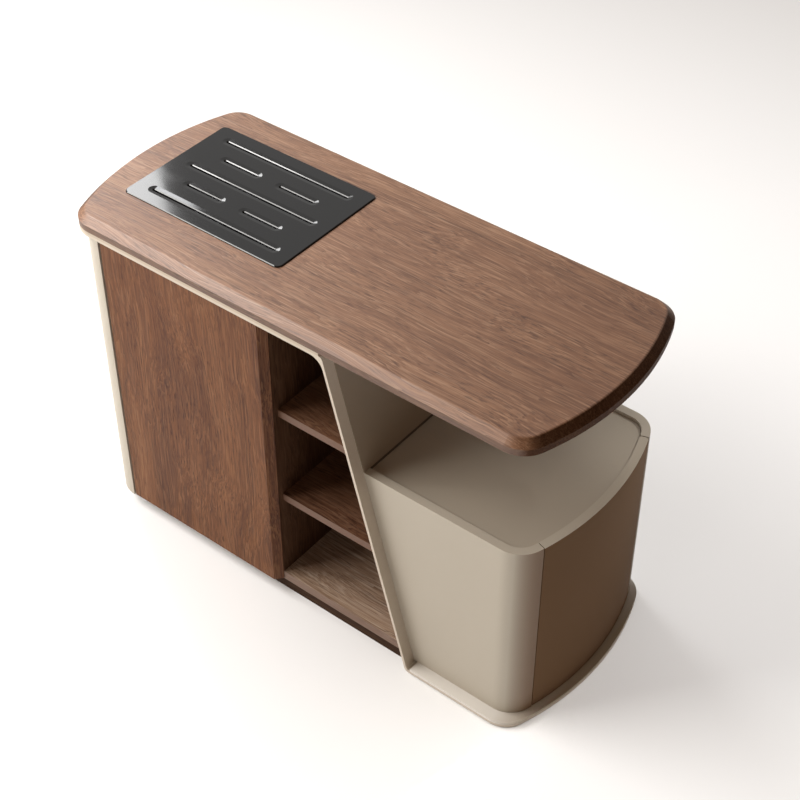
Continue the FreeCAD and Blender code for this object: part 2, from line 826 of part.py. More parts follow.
def spring(axis, start):
    """A closed-length coil spring as one unbroken wire along an axis."""
    coil = DOC.addObject("Part::Helix", "coil")
    coil.Placement = FreeCAD.Placement(FreeCAD.Vector(), ALONG[axis])
    coil.setExpression("Pitch", named("spring_pitch"))
    coil.setExpression("Height", named("spring_length"))
    coil.setExpression("Radius", named("spring_radius"))
    wire = DOC.addObject("Part::Circle", "wire")
    turned = FreeCAD.Rotation(FreeCAD.Vector(1, 0, 0), 90)
    wire.Placement = FreeCAD.Placement(FreeCAD.Vector(), ALONG[axis].multiply(turned))
    wire.setExpression("Radius", named("spring_wire"))
    side = ALONG[axis].multVec(FreeCAD.Vector(1, 0, 0))
    for name, place, lean in zip("xyz", start, side):
        coil.setExpression(f"Placement.Base.{name}", named(place))
        wire.setExpression(f"Placement.Base.{name}", named(f"({place}) + spring_radius * ({round(lean)})"))
    sweep = DOC.addObject("Part::Sweep", "spring")
    sweep.Sections = [wire]
    sweep.Spine = (coil, ["Edge1"])
    sweep.Solid = True
    sweep.Frenet = True
    return sweep


def make_cupboard_latch():
    """Push latch on the partition and the strike plate on the cupboard door."""
    x = "partition_left - latch_side / 2"
    z = shelf_height("cupboard_latch_share") + " + latch_side"
    front = "carcass_front"
    body = box(("partition_left - latch_side", "partition_left"), (front, f"{front} + latch_length"),
               (f"{z} - latch_side / 2", f"{z} + latch_side / 2"))
    bore = rod("y", "plunger_radius + running_gap", "latch_bore_depth", (x, front, z))
    piece("cupboard_latch_housing", cut(body, bore))
    tip = f"{front} - plunger_stand"
    piece("cupboard_latch_plunger", rod("y", "plunger_radius", "plunger_length", (x, tip, z)))
    rear = f"{front} + latch_bore_depth - spring_length - spring_wire"
    piece("cupboard_latch_spring", spring("y", (x, rear, z)))
    plate = box((f"{x} - strike_side / 2", f"{x} + strike_side / 2"),
                ("door_back", "door_back + strike_thickness"),
                (f"{z} - strike_height / 2", f"{z} + strike_height / 2"))
    piece("cupboard_strike_plate", plate)


# Right box

BOX_OUTER = ("box_centre", "end_radius")
BOX_INNER = ("box_centre", "end_radius - wall")


def seam_wedge(seam, far):
    """Tool that keeps what lies on the far side of a radial seam."""
    reach = "2 * table_length"
    ray = (f"box_centre + {reach} * sqrt(1 - ({seam} / end_radius)^2)", f"{reach} * {seam} / end_radius")
    corners = [("box_centre", "0"), (ray[0], ray[1]), (ray[0], far), ("box_centre", far)]
    if number(far) < 0:
        corners.reverse()
    return prism("XY", corners, "0", "table_height")


def end_spot(radial, along):
    """A place near the hinge edge of the end door: outwards from the centre, and along the edge."""
    cosine = "sqrt(1 - (end_back_edge / end_radius)^2)"
    sine = "(end_back_edge / end_radius)"
    x = f"(box_centre + ({radial}) * {cosine} - ({along}) * {sine})"
    y = f"(({radial}) * {sine} + ({along}) * {cosine})"
    return x, y


END_PIVOT = end_spot("end_radius - end_pivot_inset", "-end_pivot_inset")


def arm_height(share):
    return f"(base_top + box_height * {share})"


def make_arms():
    """Pivot arms let into the back shell, each with a hole for the door's pin."""
    half = "arm_half_width"
    middle = "end_radius - end_pivot_inset"
    corners = [
        end_spot(f"{middle} - {half}", "arm_grip"),
        end_spot(f"{middle} - {half}", "-end_pivot_inset"),
        end_spot(f"{middle} + {half}", "-end_pivot_inset"),
        end_spot(f"{middle} + {half}", "arm_grip"),
    ]
    arms = []
    mortises = []
    for share in ("arm_low_share", "arm_high_share"):
        low = arm_height(share)
        bar = prism("XY", corners, low, f"{low} + arm_thickness")
        eye = rod("z", half, "arm_thickness", (*END_PIVOT, low))
        hole = rod("z", "pivot_radius + running_gap", "arm_thickness", (*END_PIVOT, low))
        arms.append(cut(fuse(bar, eye), hole))
        mortises.append(bar)
    piece("end_pivot_arms", group(*arms))
    return mortises


def make_box(mortises):
    """Box beside the leg: two bent shells that meet the leg, and a sunk top panel."""
    left_tool = left_of(leg_back)
    outer = plan("box_front", "frame_back", "base_top", "box_rim",
                 left_flat="0", right=BOX_OUTER, corner="corner_radius")
    inner = plan("box_inner_front", "inner_back", "base_top - overrun", "box_rim + overrun",
                 left_flat="-overrun", right=BOX_INNER, corner="shell_inner_corner")
    ring = cut(outer, inner, left_tool)
    piece("box_front_shell", common(ring, seam_wedge("front_seam", "-table_length")))
    piece("box_back_shell", cut(common(ring, seam_wedge("back_seam", "table_length")), *mortises))
    edge = ("box_centre", "end_radius - wall - panel_gap")
    panel = plan("box_inner_front", "inner_back", "box_panel_under", "box_panel_top",
                 left_flat="0", right=edge, corner="shell_inner_corner")
    piece("box_top_panel", cut(panel, left_tool))


CLEAT_END_SHARE = 0.4


def make_cleats():
    """Square battens that hold the sunk panel and the foot of the box walls."""
    levels = (("box_top_cleats", "box_panel_under - cleat"), ("box_base_cleats", "base_top"))
    for label, low in levels:
        left = f"{leg_back(low)} + cleat"
        right = f"table_length * {CLEAT_END_SHARE}"
        height = (low, f"{low} + cleat")
        front = box((left, right), ("box_inner_front", "box_inner_front + cleat"), height)
        back = box((left, right), ("inner_back - cleat", "inner_back"), height)
        piece(label, group(front, back))


def make_end_door():
    """Bowed door at the right end, slotted at its pivot edge for the arms."""
    def edge(seam, radius):
        run = f"({radius}) / end_radius"
        return (f"box_centre + {run} * sqrt(end_radius^2 - ({seam})^2)", f"{run} * ({seam})")

    inner = "end_radius - wall"
    corners = [
        edge("end_front_edge", "end_radius"),
        edge("end_back_edge", "end_radius"),
        edge("end_back_edge", inner),
        edge("end_front_edge", inner),
    ]
    arcs = {0: ("box_centre", "0", "end_radius"), 2: ("box_centre", "0", inner)}
    leaf = prism("XY", corners, "end_foot", "box_rim", arcs)
    soften(leaf, edges_across(leaf, "XY", [corners[1]]), "end_pivot_inset")
    bevel(leaf, edges_across(leaf, "XY", [corners[2]]), "end_inner_chamfer")
    notch = [
        end_spot("end_radius - wall - overrun", "overrun"),
        end_spot("end_radius - wall - overrun", "-2 * end_pivot_inset"),
        end_spot("end_radius + overrun", "-2 * end_pivot_inset"),
        end_spot("end_radius + overrun", "overrun"),
    ]
    cuts = []
    pins = []
    for share in ("arm_low_share", "arm_high_share"):
        low = arm_height(share)
        cuts.append(prism("XY", notch, f"{low} - arm_slot_gap", f"{low} + arm_thickness + arm_slot_gap"))
        spot = (*END_PIVOT, f"{low} - pin_reach")
        pins.append(rod("z", "pivot_radius", "arm_thickness + 2 * pin_reach", spot))
    piece("end_door", cut(leaf, *cuts, *pins))
    piece("end_pivot_pins", group(*pins))


def make_end_latch():
    """Push latch under the sunk panel and the strike block on the end door."""
    y = "front_seam * end_latch_share"
    z = "box_panel_under - latch_side / 2"
    front = f"{bow(*BOX_INNER, y)} - end_strike_depth"
    body = box((f"{front} - latch_length", front), (f"{y} - latch_side / 2", f"{y} + latch_side / 2"),
               ("box_panel_under - latch_side", "box_panel_under"))
    bore = rod("x", "plunger_radius + running_gap", "latch_bore_depth", (f"{front} - latch_bore_depth", y, z))
    piece("end_latch_housing", cut(body, bore))
    tip = f"{front} + plunger_stand - plunger_length"
    piece("end_latch_plunger", rod("x", "plunger_radius", "plunger_length", (tip, y, z)))
    piece("end_latch_spring", spring("x", (f"{front} - latch_bore_depth + spring_wire", y, z)))
    blank = box((f"{front} + plunger_stand + strike_gap", "right_tip"),
                (f"{y} - strike_side / 2", f"{y} + strike_side / 2"),
                ("box_panel_under - strike_height", "box_panel_under - door_gap"))
    bow_inside = rod("z", BOX_INNER[1], "box_rim", ("box_centre", "0", "0"))
    piece("end_strike_block", common(blank, bow_inside))


# Tray

def make_pan():
    """Sheet steel drip pan with a flange that rests in the top board's step."""
    flange = prism("XY", tray_rectangle("tray_length", "tray_width"), "flange_under", "flange_top")
    soften(flange, edges_across(flange, "XY", tray_rectangle("tray_length", "tray_width")), "tray_corner")
    side = "2 * (pan_ledge + tray_clearance)"
    outer = tray_rectangle(f"tray_length - {side}", f"tray_width - {side}")
    tub = prism("XY", outer, "pan_under", "flange_top")
    soften(tub, edges_across(tub, "XY", outer), "tray_corner")
    side = "2 * (pan_ledge + tray_clearance + pan_sheet)"
    inner = tray_rectangle(f"tray_length - {side}", f"tray_width - {side}")
    hollow = prism("XY", inner, "pan_under + pan_sheet", "flange_top + overrun")
    soften(hollow, edges_across(hollow, "XY", inner), "tray_corner - pan_sheet")
    piece("drip_pan", cut(fuse(flange, tub), hollow))


SLOT_ROWS = (-2, -1, 0, 1, 2)


def draw_slots(sketch, growth):
    """Outlines of all the slots, each larger than its slit by a growth in length and width."""
    width = f"(slot_width + {growth})"
    for row in SLOT_ROWS:
        y = f"tray_y + slot_pitch * ({row})"
        if row % 2 == 0:
            slot(sketch, "tray_x", y, f"(long_slot_length + {growth})", width)
        else:
            for side in ("-", "+"):
                x = f"tray_x {side} short_slot_offset"
                slot(sketch, x, y, f"(short_slot_length + {growth})", width)


def make_tray():
    """Thick glossy plate with five rows of draining slits, each in a shallow sloped channel."""
    shape = tray_rectangle("tray_length", "tray_width")
    plate = prism("XY", shape, "tray_under", "tray_top")
    soften(plate, edges_across(plate, "XY", shape), "tray_corner")
    bevel(plate, edges_at_height(plate, "tray_top"), "tray_edge_bevel")

    rim = number("tray_width / 2 - tray_corner - tray_edge_bevel")
    rows = [number(f"tray_y + slot_pitch * ({row})") for row in SLOT_ROWS]
    half_slit = number("slot_width") / 2

    def in_slots(edge):
        bounds = edge.BoundBox
        return abs(bounds.Center.y - number("tray_y")) + bounds.YLength / 2 < rim

    def at_slit(edge):
        bounds = edge.BoundBox
        reach = max(min(abs(y - row) for row in rows) for y in (bounds.YMin, bounds.YMax))
        return reach < half_slit + NEAR

    pocket(plate, lambda sketch: draw_slots(sketch, "channel_foot"), "tray_top", "tray_top - slot_head")
    slope = "(channel_width - slot_width - channel_foot) / 2"
    bevel(plate, edges_at_height(plate, "tray_top", in_slots), slope, "channel_depth")
    pocket(plate, lambda sketch: draw_slots(sketch, "0"), "slot_head", "tray_thickness")
    bevel(plate, edges_at_height(plate, "slot_head", at_slit), "slot_lip")
    piece("tray_plate", plate)
    pads = []
    for x_side in ("-", "+"):
        for y_side in ("-", "+"):
            x = f"tray_x {x_side} (tray_length / 2 - tray_corner - pad_inset)"
            y = f"tray_y {y_side} (tray_width / 2 - pad_inset)"
            pads.append(rod("z", "pad_radius", "pad_thickness", (x, y, "flange_top")))
    piece("tray_pads", group(*pads))


def build():
    screws = make_fixings()
    make_top(screws)
    make_band(screws)
    make_glides()
    shell_pins, partition_shelf_pins = make_cupboard_shelf()
    partition_bay_pins, wall_pins = make_bay_pins()
    make_shell(shell_pins)
    dowels = make_dowels()
    back_screws = make_back_screws()
    seat = make_pivots()
    partition_pins = group(partition_shelf_pins, partition_bay_pins)
    make_carcass(right_of(leg_face), dowels, back_screws, partition_pins, seat)
    make_slant_wall(wall_pins)
    make_plinth()
    make_bay_shelves()
    make_cupboard_door()
    make_cupboard_latch()
    make_box(make_arms())
    make_cleats()
    make_end_door()
    make_end_latch()
    make_pan()
    make_tray()


def check():
    """Every object has to be sound before anything is written."""
    faults = []
    for thing in DOC.Objects:
        if "Invalid" in thing.State or "Error" in thing.State:
            faults.append(f"{thing.Name} ({thing.Label}) is {thing.State}")
    for label, thing in PIECES.items():
        shape = thing.Shape
        if shape.isNull() or not shape.isValid() or not shape.Solids:
            faults.append(f"{label} has no sound shape")
    if faults:
        raise RuntimeError("; ".join(faults))


def write():
    os.makedirs("parts", exist_ok=True)
    for label, thing in PIECES.items():
        thing.Shape.exportStep(f"parts/{label}.step")
        bounds = thing.Shape.BoundBox
        corners = (bounds.XMin, bounds.YMin, bounds.ZMin, bounds.XMax, bounds.YMax, bounds.ZMax)
        spread = " ".join(f"{value:.1f}" for value in corners)
        print(f"{label}: {len(thing.Shape.Solids)} solids, {thing.Shape.Volume / 1000:.1f} cm3, {spread}")
    print(len(PIECES), "pieces")


build()
DOC.recompute()
check()
write()
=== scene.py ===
import math

import bpy
from mathutils import Matrix, Vector


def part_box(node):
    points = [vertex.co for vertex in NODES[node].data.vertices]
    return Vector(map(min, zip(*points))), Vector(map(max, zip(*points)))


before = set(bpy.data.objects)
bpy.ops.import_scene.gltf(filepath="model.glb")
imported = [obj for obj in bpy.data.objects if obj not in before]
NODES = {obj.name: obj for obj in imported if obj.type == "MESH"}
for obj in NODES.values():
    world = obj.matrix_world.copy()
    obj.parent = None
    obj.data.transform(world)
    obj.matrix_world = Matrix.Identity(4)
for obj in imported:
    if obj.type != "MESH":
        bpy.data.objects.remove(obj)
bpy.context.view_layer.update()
SCENE = bpy.context.scene

MM = 0.001


# Camera, at the photograph's viewing angle

LENS_PX = 1690
FRAME_PX = 800
SENSOR = 36
FARTHEST = 100
CAMERA_AZIMUTH = math.radians(38.3)
CAMERA_PITCH = math.radians(42.0)
CAMERA_SPOT = Vector((1.6557, -1.9890, 2.738))


def make_camera():
    data = bpy.data.cameras.new("camera")
    data.sensor_width = SENSOR
    data.lens = LENS_PX / FRAME_PX * SENSOR
    data.clip_end = FARTHEST
    camera = bpy.data.objects.new("camera", data)
    back = Vector((
        math.sin(CAMERA_AZIMUTH) * math.cos(CAMERA_PITCH),
        -math.cos(CAMERA_AZIMUTH) * math.cos(CAMERA_PITCH),
        math.sin(CAMERA_PITCH),
    ))
    right = Vector((0, 0, 1)).cross(back).normalized()
    up = back.cross(right)
    turn = Matrix((right, up, back)).transposed().to_4x4()
    camera.matrix_world = Matrix.Translation(CAMERA_SPOT) @ turn
    SCENE.collection.objects.link(camera)
    SCENE.camera = camera


# Floor, lamps and room

FLOOR_SIZE = 80
FLOOR_COLOUR = (0.86, 0.86, 0.86, 1)
FLOOR_ROUGHNESS = 0.9

# Each lamp's spot, the point it faces, its width and height, its watts and its colour
LAMPS = {
    "left_window": ((-1.9, -0.75, 2.15), (0, 0, 0.78), (1.1, 1.1), 52, (1, 0.98, 0.96)),
    "front_softbox": ((-2.6, -2.7, 3.2), (0, 0, 0.6), (2.0, 1.8), 140, (1, 0.98, 0.95)),
    "front_fill": ((0.5, -3.6, 1.3), (0.2, -0.2, 0.3), (1.2, 0.8), 18, (1, 0.97, 0.93)),
    "back_softbox": ((-2.8, 1.42, 2.5), (-0.6, -0.14, 0.78), (0.9, 1.2), 30, (1, 1, 1)),
    "slot_softbox": ((-2.34, 0.75, 3.0), (-0.42, -0.08, 0.78), (0.38, 0.22), 3.2, (0.97, 0.98, 1)),
    "corner_softbox": ((0.95, 1.7, 2.0), (0.56, 0.19, 0.5), (0.2, 0.2), 0.07, (1, 0.98, 0.94)),
    "floor_wash": ((1.7, 0.9, 3.2), (1.3, 0.7, 0), (2.4, 2.4), 62, (1, 1, 1)),
}
# The lamp that reaches only the box's far corner, and the one that lights only the floor
NARROW_LAMP = "corner_softbox"
NARROW_BEAM = math.radians(8)
FLOOR_LAMP = "floor_wash"

# A dim warm room with a white wall behind and to the left
ROOM = (0.15, 0.098, 0.06, 1)
WALL = (0.70, 0.69, 0.68, 1)
WALL_SIDE = (-0.68, 0.7, 0.2)
WALL_EDGES = (0.15, 0.8)


def make_floor():
    mesh = bpy.data.meshes.new("floor")
    half = FLOOR_SIZE / 2
    corners = [(-half, -half, 0), (half, -half, 0), (half, half, 0), (-half, half, 0)]
    mesh.from_pydata(corners, [], [(0, 1, 2, 3)])
    floor = bpy.data.objects.new("floor", mesh)
    SCENE.collection.objects.link(floor)
    paint = bpy.data.materials.new("floor_paint")
    paint.use_nodes = True
    shader = paint.node_tree.nodes["Principled BSDF"]
    shader.inputs["Base Color"].default_value = FLOOR_COLOUR
    shader.inputs["Roughness"].default_value = FLOOR_ROUGHNESS
    mesh.materials.append(paint)
    return floor


def area_light(name, spot, target, size, watts, colour):
    data = bpy.data.lights.new(name, "AREA")
    data.shape = "RECTANGLE"
    data.size, data.size_y = size
    data.energy = watts
    data.color = colour
    lamp = bpy.data.objects.new(name, data)
    lamp.location = spot
    way = Vector(target) - Vector(spot)
    lamp.rotation_euler = way.to_track_quat("-Z", "Y").to_euler()
    SCENE.collection.objects.link(lamp)
    return lamp


def make_lamps(floor):
    lamps = {name: area_light(name, *settings) for name, settings in LAMPS.items()}
    lamps[NARROW_LAMP].data.spread = NARROW_BEAM
    lit = bpy.data.collections.new("floor_only")
    lit.objects.link(floor)
    lamps[FLOOR_LAMP].light_linking.receiver_collection = lit


def make_world():
    world = bpy.data.worlds.new("studio")
    world.use_nodes = True
    nodes = world.node_tree.nodes
    links = world.node_tree.links
    direction = nodes.new("ShaderNodeTexCoord")
    facing = nodes.new("ShaderNodeVectorMath")
    facing.operation = "DOT_PRODUCT"
    facing.inputs[1].default_value = WALL_SIDE
    share = nodes.new("ShaderNodeMapRange")
    share.interpolation_type = "SMOOTHSTEP"
    share.inputs["From Min"].default_value = WALL_EDGES[0]
    share.inputs["From Max"].default_value = WALL_EDGES[1]
    colour = nodes.new("ShaderNodeMix")
    colour.data_type = "RGBA"
    colour.inputs["A"].default_value = ROOM
    colour.inputs["B"].default_value = WALL
    links.new(direction.outputs["Generated"], facing.inputs[0])
    links.new(facing.outputs["Value"], share.inputs["Value"])
    links.new(share.outputs[0], colour.inputs["Factor"])
    links.new(colour.outputs["Result"], nodes["Background"].inputs["Color"])
    nodes["Background"].inputs["Strength"].default_value = 1.0
    SCENE.world = world


# Node trees

# Limits between which nearly all of a noise's values lie
NOISE_MIDDLE = (0.3, 0.7)


def opaque(colour, share=1.0):
    """A colour, made darker or lighter, with full alpha."""
    return tuple(part * share for part in colour) + (1,)


class Tree:
    """A material's node tree with short ways to add and join nodes."""

    def __init__(self, name):
        self.material = bpy.data.materials.new(name)
        self.material.use_nodes = True
        self.nodes = self.material.node_tree.nodes
        self.links = self.material.node_tree.links
        self.shader = self.nodes["Principled BSDF"]

    def add(self, kind, inputs=None, **settings):
        node = self.nodes.new(kind)
        for key, value in settings.items():
            setattr(node, key, value)
        for key, value in (inputs or {}).items():
            self.feed(node.inputs[key], value)
        return node

    def feed(self, socket, value):
        if isinstance(value, bpy.types.NodeSocket):
            self.links.new(value, socket)
        else:
            socket.default_value = value

    def set(self, **values):
        for key, value in values.items():
            self.feed(self.shader.inputs[key.replace("_", " ")], value)

    def place(self, scale=(1, 1, 1), turn=(0, 0, 0)):
        """Places in metres, turned and then scaled."""
        source = self.add("ShaderNodeTexCoord").outputs["Object"]
        turned = self.add("ShaderNodeMapping", {"Vector": source, "Rotation": turn}).outputs[0]
        return self.add("ShaderNodeMapping", {"Vector": turned, "Scale": scale}).outputs[0]

    def split(self, vector):
        """The X, Y and Z parts of a vector."""
        return self.add("ShaderNodeSeparateXYZ", {"Vector": vector}).outputs

    def normal(self):
        """The X, Y and Z parts of the way a face looks, in the node's own frame."""
        return self.split(self.add("ShaderNodeTexCoord").outputs["Normal"])

    def noise(self, place, scale, detail, roughness):
        inputs = {"Vector": place, "Scale": scale, "Detail": detail, "Roughness": roughness}
        return self.add("ShaderNodeTexNoise", inputs).outputs["Fac"]

    def spread(self, value, limits, low=0.0, high=1.0):
        """A value between two limits, laid out from low to high."""
        inputs = {"Value": value, "From Min": limits[0], "From Max": limits[1],
                  "To Min": low, "To Max": high}
        return self.add("ShaderNodeMapRange", inputs).outputs[0]

    def math(self, kind, first, second=0.0):
        node = self.add("ShaderNodeMath", operation=kind)
        self.feed(node.inputs[0], first)
        self.feed(node.inputs[1], second)
        return node.outputs[0]

    def times(self, first, second):
        return self.math("MULTIPLY", first, second)

    def mix(self, share, first, second, blend="MIX"):
        node = self.add("ShaderNodeMix", data_type="RGBA", blend_type=blend)
        self.feed(node.inputs["Factor"], share)
        self.feed(node.inputs["A"], first)
        self.feed(node.inputs["B"], second)
        return node.outputs["Result"]

    def tones(self, share, colour, limits):
        """A colour that runs between two tones of itself."""
        first, second = (opaque(colour, limit) for limit in limits)
        return self.mix(share, first, second)

    def ramp(self, value, stops):
        node = self.add("ShaderNodeValToRGB", {"Fac": value})
        points = node.color_ramp.elements
        while len(points) < len(stops):
            points.new(0.5)
        for point, (spot, colour) in zip(points, stops):
            point.position = spot
            point.color = colour
        return node.outputs["Color"]

    def bump(self, height, strength, distance):
        inputs = {"Height": height, "Strength": strength, "Distance": distance}
        return self.add("ShaderNodeBump", inputs).outputs["Normal"]


# Walnut

# Turns that lay the grain's direction along the texture's X
GRAIN_X = (0, 0, 0)
GRAIN_Z = (0, math.radians(90), 0)

# A board's seed moves the figure this much more sideways than along
SEED_SIDEWAYS = 1.7

# Slow sideways wanderings of the grain: steps per metre along and across it, and their reach
SWAYS = [(1.3, 4.0, 0.12), (5.0, 12.0, 0.014)]
SWAY_DETAIL = 2.0
SWAY_ROUGHNESS = 0.5
NOISE_MEAN = 0.5

# Parts of the figure: steps per metre along and across the grain, detail and roughness
FIGURE = {
    "band": (0.7, 24.0, 3.0, 0.55),
    "streak": (3.6, 190.0, 4.0, 0.7),
    "fibre": (14.0, 470.0, 3.0, 0.7),
    "pore": (34.0, 470.0, 1.0, 0.5),
    "line": (9.0, 300.0, 1.0, 0.5),
    "patch": (3.0, 16.0, 3.0, 0.5),
    "zone": (0.8, 13.0, 2.0, 0.5),
}
YEARS_PER_BAND = 11.0
PALE_RING = (0.72, 0.97)
DARK_RING = (0.16, 0.0)
PORE_LIMITS = (0.56, 0.63)
LINE_LIMITS = (0.58, 0.68)
PATCH_LIMITS = (0.36, 0.56)
ZONE_LIMITS = (0.36, 0.64)

# What each part adds to the tone, and the colours that the tone runs through
TONE_SHARES = {"band": 0.34, "streak": 0.56, "fibre": 0.46, "dark_ring": -0.06}
TONE_STOPS = [
    (0.48, (0.085, 0.036, 0.019)),
    (0.61, (0.165, 0.078, 0.042)),
    (0.71, (0.215, 0.108, 0.061)),
    (0.87, (0.310, 0.176, 0.108)),
]
PORE_SHARE = 0.62
PORE_COLOUR = (0.055, 0.022, 0.012)
PALE_RING_SHARE = 0.30
PALE_LINE_SHARE = 0.42
PALE_COLOUR = (0.42, 0.265, 0.18)
DARK_ZONE = (0.86, 0.82, 0.79, 1)
LIGHT_ZONE = (1.2, 1.27, 1.26, 1)

# How far fibres and pores stand out, with the relief's strength and its height in metres
FIBRE_RELIEF = 0.5
PORE_RELIEF = -0.8
GRAIN_BUMP = (0.2, 0.0004)
GLOSS_RANGE = (-0.04, 0.08)

# The top's painted shade: metres along X over which it darkens towards its right end, and how far
# a face turns before it darkens
TOP_SHADE_SPAN = (0.05, 0.5)
TOP_SHADE = (0.85, 0.79, 0.73, 1)
END_TURN = (0.45, 0.68)
END_SHARE = 0.69
END_LEVEL = 0.05
UPRIGHT_TURN = (0.4, 0.2)
UPRIGHT_SHARE = 0.5
EDGE_SHADE = (0.024, 0.009, 0.004, 1)

# The shelves' fronts: how far a face turns before it takes the painted light of a lit front, or
# the painted highlight on its arris
LIT_FRONT_TURN = (0.7, 0.95)
LIT_FRONT_SHARE = 0.8
LIT_FRONT = (0.125, 0.062, 0.036, 1)
FRONT_HIGHLIGHT_TURN = (0.2, 0.45)
FRONT_HIGHLIGHT_SHARE = 0.85
FRONT_HIGHLIGHT = (0.46, 0.31, 0.21, 1)


def painted_top_shade(t, colour, level):
    """Painted shade: darken the board towards its right end; darken and dull the upright faces and
    the ends.
    """
    along = t.spread(t.split(t.place())["X"], TOP_SHADE_SPAN)
    colour = t.mix(along, colour, TOP_SHADE, "MULTIPLY")
    normal = t.normal()
    end = t.spread(t.math("ABSOLUTE", normal["X"]), END_TURN)
    upright = t.spread(t.math("ABSOLUTE", normal["Z"]), UPRIGHT_TURN, 0.0, UPRIGHT_SHARE)
    dark = t.math("MAXIMUM", t.times(end, END_SHARE), upright)
    return t.mix(dark, colour, EDGE_SHADE), t.spread(end, (0.0, 1.0), level, END_LEVEL)


def painted_lit_fronts(t, colour, level):
    """Painted light on the front and back edges: a flat brown that stands in for their lit faces,
    with a painted highlight on the arris above it.
    """
    normal = t.normal()
    facing = t.math("ABSOLUTE", normal["Y"])
    lit_front = t.mix(t.spread(facing, LIT_FRONT_TURN, 0.0, LIT_FRONT_SHARE), colour, LIT_FRONT)
    rising = t.times(t.spread(facing, FRONT_HIGHLIGHT_TURN), t.spread(normal["Z"], FRONT_HIGHLIGHT_TURN))
    return t.mix(t.times(rising, FRONT_HIGHLIGHT_SHARE), lit_front, FRONT_HIGHLIGHT), level


def walnut(name, turn, tint, gloss, level, seed, edge=None, zones=0.45):
    """Walnut veneer: wandering fibres, bands, fine ring lines, streaks and short dark pores."""
    t = Tree(name)
    start = {"Vector": t.place(turn=turn), "Location": (seed, seed * SEED_SIDEWAYS, 0)}
    flow = t.add("ShaderNodeMapping", start).outputs[0]

    def tinted(colour):
        return opaque(part * share for part, share in zip(colour, tint))

    def grain(along, across, detail, roughness):
        scale = (along, across, across)
        place = t.add("ShaderNodeMapping", {"Vector": flow, "Scale": scale}).outputs[0]
        return t.noise(place, 1.0, detail, roughness)

    for along, across, reach in SWAYS:
        side = t.math("SUBTRACT", grain(along, across, SWAY_DETAIL, SWAY_ROUGHNESS), NOISE_MEAN)
        push = t.times(side, reach)
        move = t.add("ShaderNodeCombineXYZ", {"Y": push, "Z": push}).outputs[0]
        flow = t.add("ShaderNodeVectorMath", {0: flow, 1: move}, operation="ADD").outputs[0]

    part = {key: grain(*settings) for key, settings in FIGURE.items()}
    year = t.math("FRACT", t.times(part["band"], YEARS_PER_BAND))
    part["dark_ring"] = t.spread(year, DARK_RING)
    tone = 0.0
    for key, share in TONE_SHARES.items():
        tone = t.math("ADD", tone, t.times(part[key], share))
    colour = t.ramp(tone, [(spot, tinted(stop)) for spot, stop in TONE_STOPS])

    patch = t.spread(part["patch"], PATCH_LIMITS)
    speck = t.times(t.times(t.spread(part["pore"], PORE_LIMITS), patch), PORE_SHARE)
    colour = t.mix(speck, colour, tinted(PORE_COLOUR))
    pale_ring = t.times(t.spread(year, PALE_RING), PALE_RING_SHARE)
    pale_line = t.times(t.spread(part["line"], LINE_LIMITS), PALE_LINE_SHARE)
    colour = t.mix(t.math("MAXIMUM", pale_ring, pale_line), colour, tinted(PALE_COLOUR))
    zone = t.mix(t.spread(part["zone"], ZONE_LIMITS), DARK_ZONE, LIGHT_ZONE)
    colour = t.mix(zones, colour, zone, "MULTIPLY")
    if edge:
        colour, level = edge(t, colour, level)

    relief = t.math("ADD", t.times(part["fibre"], FIBRE_RELIEF), t.times(speck, PORE_RELIEF))
    smooth, rough = (gloss + step for step in GLOSS_RANGE)
    t.set(Base_Color=colour, Normal=t.bump(relief, *GRAIN_BUMP), Specular_IOR_Level=level,
          Roughness=t.spread(part["streak"], NOISE_MIDDLE, smooth, rough))
    return t.material


# Lacquer

BEIGE = (0.43, 0.385, 0.315)
# A paler copy of the beige for the base, painted light where its top is lit
LIT_BEIGE = (0.68, 0.645, 0.59)
BAND_BEIGE = (0.53, 0.46, 0.375)
DECK_BEIGE = (0.46, 0.38, 0.29)
PANEL_BEIGE = (0.37, 0.325, 0.26)
# The beige darkened for the leg's lining, painted shade
LINING_SHADE = (0.29, 0.235, 0.175)
# The beige darkened to brown for the end door, painted shade on the right end below its lit top
# edge
END_SHADE = (0.15, 0.087, 0.045)
# Painted shade for the band's faces in the recess behind the box's front wall
STRIP_SHADE = (0.09, 0.07, 0.05, 1)
# Painted highlight on the lacquer's arrises
ARRIS_HIGHLIGHT = (0.78, 0.74, 0.66, 1)

# Painted shade that fades to brown: how far a corner's face turns, and the metres along X on the
# base
CORNER_SHADE = (0.42, 0.28, 0.185, 1)
CORNER_SHADE_TURN = (0.42, 0.97)
BASE_SHADE = (0.5, 0.42, 0.32, 1)
BASE_SHADES = (0.51, 0.585)

# Drift of tone, dust and orange peel: steps per metre, detail and roughness of each noise
DRIFT = (3.0, 3.0, 0.5)
DUST = (60.0, 5.0, 0.6)
PEEL = (420.0, 2.0, 0.5)
PEEL_BUMP = (0.05, 0.0003)
SATIN_TONES = (0.95, 1.04)
SATIN_ROUGHNESS = (0.37, 0.44)
SATIN_LEVEL = 0.3
MATT_TONES = (0.93, 1.06)
MATT_ROUGHNESS = (0.62, 0.72)
MATT_LEVEL = 0.06

# How far a face rises before it is an arris with a painted highlight, and where the arris ends
ARRIS_RISE = (0.35, 0.55)
ARRIS_END = (0.97, 0.85)
ARRIS_SHARE = 0.6

# Places on the box, in metres, and how far a face turns towards +X before it takes painted shade
WALL_THICKNESS = 0.018
PANEL_RECESS = 0.02
END_DOOR_ARRIS = 0.0015
STRIP_TURN = 0.5


